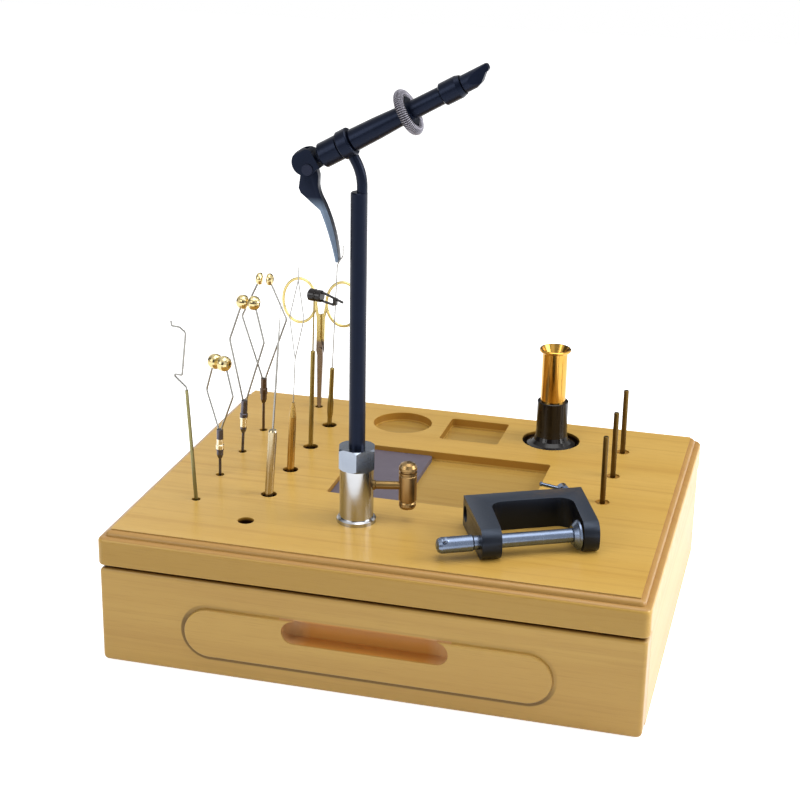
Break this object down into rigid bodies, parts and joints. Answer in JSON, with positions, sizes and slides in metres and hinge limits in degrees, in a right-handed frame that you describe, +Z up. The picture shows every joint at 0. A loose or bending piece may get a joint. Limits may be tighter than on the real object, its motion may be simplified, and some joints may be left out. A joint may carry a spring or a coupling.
{
  "type": "fly tying cabinet",
  "caption": "Low wooden cabinet with a drawer and a moulded top that carries a rotary fly tying vise, hand tools in holes, a hair stacker, spool pegs, pockets and a C-clamp.",
  "frame": {"origin": "centre of the footprint, on the surface that the cabinet stands on", "axes": "+X to the right of a user who faces the drawer, +Y from the drawer face towards the back, +Z up"},
  "size_m": [0.3086, 0.2537, 0.3411],
  "materials": {
    "slab_wood": "satin lacquer",
    "front_wood": "satin lacquer",
    "carcass_wood": "satin lacquer",
    "drawer_wood": "plain",
    "magnet_sheet": "matt",
    "peg_brass": "satin",
    "post_steel": "satin",
    "zinc_steel": "bright plated",
    "collet_brass": "plain",
    "black_enamel": "semi-gloss",
    "jaw_steel": "blackened",
    "knob_brass": "satin",
    "spring_steel": "bright",
    "clamp_paint": "satin",
    "aged_brass": "dulled",
    "tool_wire": "bright",
    "bobbin_steel": "bright",
    "polished_brass": "polished",
    "tool_brass": "satin",
    "black_plastic": "gloss",
    "gilt_steel": "gilt"
  },
  "bodies": {
    "cabinet": {"top_slab": "slab_wood", "side_panels": "carcass_wood", "back_panel": "carcass_wood", "bottom_panel": "carcass_wood", "carcass_dowels": "carcass_wood", "magnetic_sheet": "magnet_sheet", "spool_pegs": "peg_brass", "drawer_runners": "drawer_wood", "vise_post": "post_steel", "post_screw": "zinc_steel"},
    "drawer": {"drawer_front": "front_wood", "drawer_sides": "drawer_wood", "drawer_back": "drawer_wood", "drawer_bottom": "drawer_wood"},
    "post_nut": {"post_nut": "post_steel"},
    "thumb_screw": {"thumb_screw": "black_enamel", "thumb_screw_handle": "knob_brass"},
    "stem_collet": {"stem_collet": "collet_brass"},
    "vise_stem": {"vise_stem": "black_enamel"},
    "vise_head": {"vise_barrel": "black_enamel", "rear_collar": "black_enamel", "material_spring": "spring_steel", "jaw_return_spring": "spring_steel"},
    "front_collar": {"front_collar": "black_enamel"},
    "draw_rod": {"draw_rod": "black_enamel", "collet_jaws": "jaw_steel", "lever_pivot_pin": "black_enamel"},
    "cam_lever": {"cam_lever": "black_enamel"},
    "clamp_frame": {"clamp_frame": "clamp_paint"},
    "clamp_pad": {"clamp_pad": "zinc_steel"},
    "clamp_screw": {"clamp_screw": "zinc_steel", "clamp_tommy_bar": "zinc_steel"},
    "clamp_set_screw": {"clamp_set_screw": "zinc_steel", "set_screw_bar": "zinc_steel"},
    "whip_finisher": {"whip_finisher_handle": "aged_brass"},
    "whip_finisher_wire": {"whip_finisher_wire": "tool_wire"},
    "bobbin_1": {"bobbin_1_tube": "bobbin_steel", "bobbin_1_arms": "tool_wire", "bobbin_1_cups": "polished_brass"},
    "bobbin_2": {"bobbin_2_tube": "bobbin_steel", "bobbin_2_arms": "tool_wire", "bobbin_2_cups": "polished_brass"},
    "bobbin_3": {"bobbin_3_tube": "bobbin_steel", "bobbin_3_arms": "tool_wire", "bobbin_3_cups": "polished_brass"},
    "bodkin": {"bodkin_handle": "tool_brass", "bodkin_needle": "tool_wire"},
    "threader": {"threader_handle": "tool_brass", "threader_wire": "tool_wire"},
    "hackle_pliers": {"hackle_pliers_handle": "tool_brass"},
    "hackle_pliers_head": {"hackle_pliers_head": "black_plastic", "hackle_pliers_spring": "black_plastic"},
    "half_hitch_tool": {"half_hitch_handle": "tool_brass", "half_hitch_needle": "tool_wire"},
    "scissors": {"scissor_half_left": "gilt_steel"},
    "scissor_right_half": {"scissor_half_right": "gilt_steel", "scissor_screw": "gilt_steel"},
    "stacker_cup": {"stacker_cup": "black_plastic"},
    "stacker_tube": {"stacker_tube": "polished_brass"}
  },
  "joints": [
    {"name": "drawer_slide", "type": "slide", "parent": "cabinet", "child": "drawer", "axis": [0, -1, 0], "range_m": [0, 0.17]},
    {"name": "post_nut_turn", "type": "hinge", "parent": "cabinet", "child": "post_nut", "pos_m": [-0.0204, -0.0687, 0.1155], "axis": [0, 0, 1], "range_deg": [0, 360]},
    {"name": "thumb_screw_turn", "type": "hinge", "parent": "cabinet", "child": "thumb_screw", "pos_m": [-0.0204, -0.0687, 0.1022], "axis": [0.9673, 0.2538, 0], "range_deg": [0, 360]},
    {"name": "stem_swivel", "type": "hinge", "parent": "cabinet", "child": "stem_collet", "pos_m": [-0.0204, -0.0687, 0.1005], "axis": [0, 0, 1], "continuous": true},
    {"name": "stem_height", "type": "slide", "parent": "stem_collet", "child": "vise_stem", "axis": [0, 0, 1], "range_m": [0, 0.034]},
    {"name": "vise_rotation", "type": "hinge", "parent": "vise_stem", "child": "vise_head", "pos_m": [-0.0274, -0.0687, 0.2951], "axis": [0.8725, 0, 0.4886], "continuous": true},
    {"name": "front_collar_turn", "type": "hinge", "parent": "vise_head", "child": "front_collar", "pos_m": [-0.0274, -0.0687, 0.2951], "axis": [0.8725, 0, 0.4886], "range_deg": [0, 360]},
    {"name": "jaw_travel", "type": "slide", "parent": "vise_head", "child": "draw_rod", "axis": [0.8725, 0, 0.4886], "range_m": [0, 0.0015]},
    {"name": "cam_lever_pivot", "type": "hinge", "parent": "draw_rod", "child": "cam_lever", "pos_m": [-0.04758, -0.0687, 0.28059], "axis": [0, 1, 0], "range_deg": [0, 85]},
    {"name": "clamp_lift", "type": "slide", "parent": "cabinet", "child": "clamp_frame", "axis": [0, 0, 1], "range_m": [0, 0.08]},
    {"name": "clamp_pad_travel", "type": "slide", "parent": "clamp_frame", "child": "clamp_pad", "axis": [-0.887, -0.4617, 0], "range_m": [0, 0.034]},
    {"name": "clamp_screw_turn", "type": "hinge", "parent": "clamp_pad", "child": "clamp_screw", "pos_m": [0.0696, -0.0901, 0.0893], "axis": [-0.887, -0.4617, 0], "range_deg": [0, 9792]},
    {"name": "set_screw_turn", "type": "hinge", "parent": "clamp_frame", "child": "clamp_set_screw", "pos_m": [0.09558, -0.02675, 0.0893], "axis": [-0.4617, 0.887, 0], "range_deg": [0, 180]},
    {"name": "whip_finisher_lift", "type": "slide", "parent": "cabinet", "child": "whip_finisher", "axis": [-0.061, 0, 0.9981], "range_m": [0, 0.09]},
    {"name": "bobbin_1_lift", "type": "slide", "parent": "cabinet", "child": "bobbin_1", "axis": [0.0157, 0, 0.9999], "range_m": [0, 0.09]},
    {"name": "bobbin_2_lift", "type": "slide", "parent": "cabinet", "child": "bobbin_2", "axis": [0.0541, 0, 0.9985], "range_m": [0, 0.09]},
    {"name": "bobbin_3_lift", "type": "slide", "parent": "cabinet", "child": "bobbin_3", "axis": [0.0192, 0, 0.9998], "range_m": [0, 0.09]},
    {"name": "bodkin_lift", "type": "slide", "parent": "cabinet", "child": "bodkin", "axis": [0.0698, 0, 0.9976], "range_m": [0, 0.09]},
    {"name": "threader_lift", "type": "slide", "parent": "cabinet", "child": "threader", "axis": [0.0454, 0, 0.999], "range_m": [0, 0.09]},
    {"name": "hackle_pliers_lift", "type": "slide", "parent": "cabinet", "child": "hackle_pliers", "axis": [0.0244, 0, 0.9997], "range_m": [0, 0.09]},
    {"name": "half_hitch_tool_lift", "type": "slide", "parent": "cabinet", "child": "half_hitch_tool", "axis": [0.0454, 0, 0.999], "range_m": [0, 0.09]},
    {"name": "scissors_lift", "type": "slide", "parent": "cabinet", "child": "scissors", "axis": [0.0209, 0, 0.9998], "range_m": [0, 0.12]},
    {"name": "whip_finisher_spin", "type": "hinge", "parent": "whip_finisher", "child": "whip_finisher_wire", "pos_m": [-0.12167, -0.0673, 0.14708], "axis": [-0.061, 0, 0.9981], "continuous": true},
    {"name": "hackle_pliers_spin", "type": "hinge", "parent": "hackle_pliers", "child": "hackle_pliers_head", "pos_m": [-0.07738, 0.03185, 0.17947], "axis": [0.0244, 0, 0.9997], "continuous": true},
    {"name": "scissor_pivot", "type": "hinge", "parent": "scissors", "child": "scissor_right_half", "pos_m": [-0.09576, 0.1026, 0.12049], "axis": [0, 1, 0], "range_deg": [0, 24]},
    {"name": "stacker_lift", "type": "slide", "parent": "cabinet", "child": "stacker_cup", "axis": [0, 0, 1], "range_m": [0, 0.05]},
    {"name": "stacker_tube_lift", "type": "slide", "parent": "stacker_cup", "child": "stacker_tube", "axis": [0, 0, 1], "range_m": [0, 0.065]}
  ],
  "couplings": [
    {"joint": "cam_lever_pivot", "follows": "jaw_travel", "rad_per_m": 988.9},
    {"joint": "clamp_screw_turn", "follows": "clamp_pad_travel", "rad_per_m": 5026},
    {"joint": "scissor_pivot", "follows": "scissors_lift", "rad_per_m": 3.4903}
  ]
}
